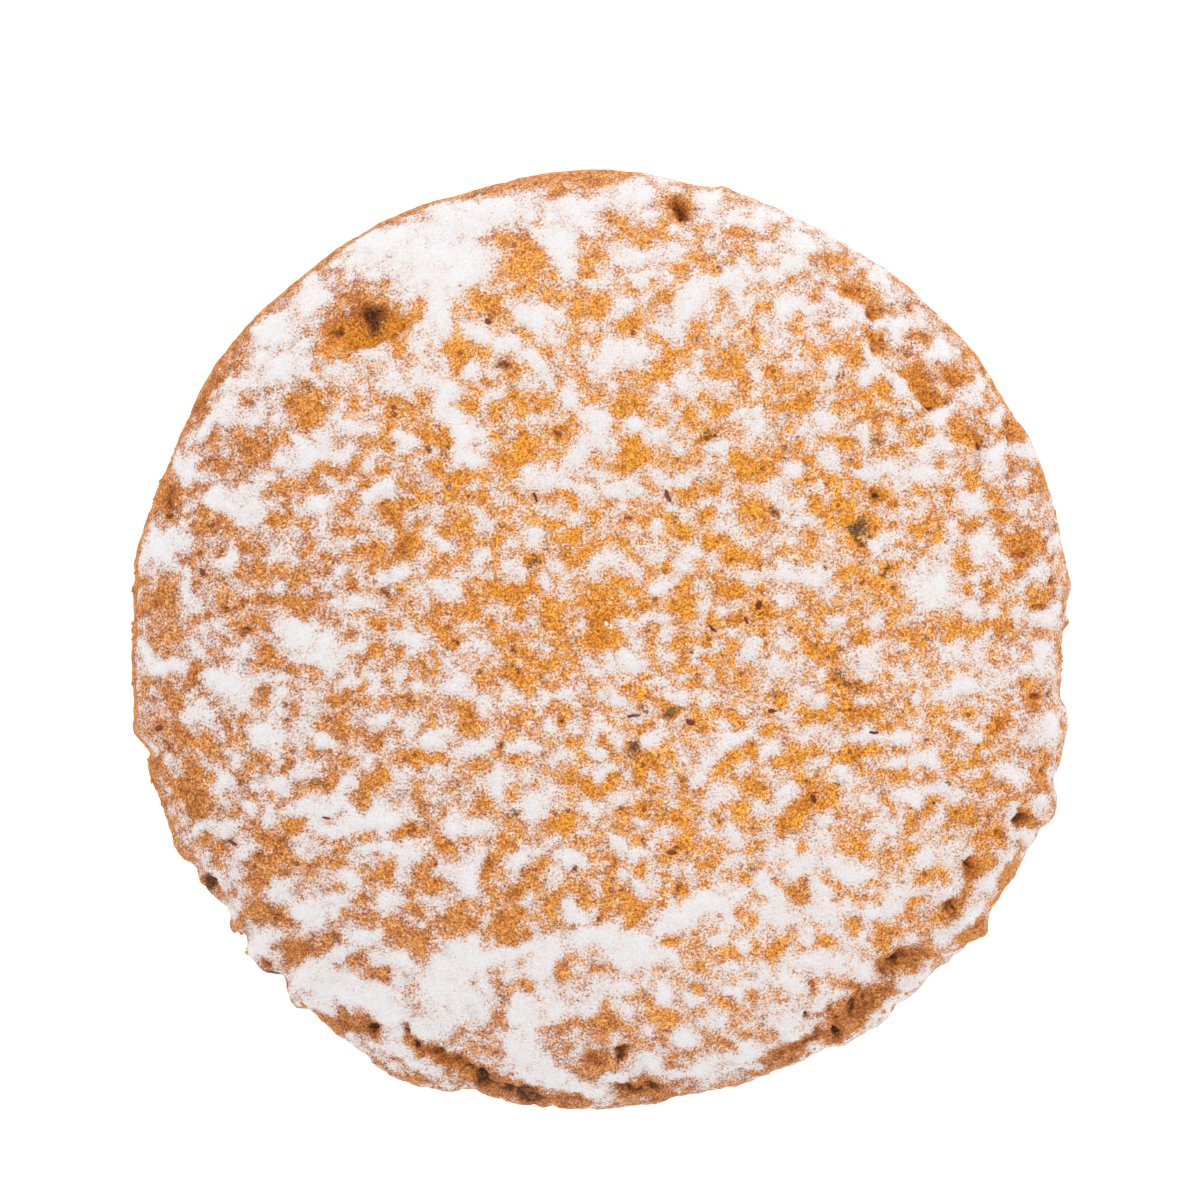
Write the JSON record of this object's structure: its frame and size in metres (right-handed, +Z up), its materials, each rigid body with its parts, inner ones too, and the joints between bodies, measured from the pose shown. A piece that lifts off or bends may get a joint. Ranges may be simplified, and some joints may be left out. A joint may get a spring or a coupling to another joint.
{
  "type": "round lebkuchen",
  "caption": "Round domed lebkuchen biscuit with golden brown crust, patchy frosted sugar glaze, small pits and a cracked, crumbled rim on a flat base.",
  "frame": {"origin": "middle of the bounding box's bottom, on the flat base", "axes": "+Z up through the dome; +Y towards the side with the long brown band on the rim; the cracked rim faces -Y"},
  "size_m": [0.0922, 0.0922, 0.0164],
  "materials": {
    "crust": "dry, grainy golden brown baked crust",
    "sugar_glaze": "thin dry white sugar glaze, matt, grainy at its edges",
    "crumb": "rough orange-brown crumb",
    "nut_skin": "thin dark red-brown nut skin, slightly waxy"
  },
  "bodies": {
    "root": {"biscuit": "crust"}
  },
  "joints": []
}
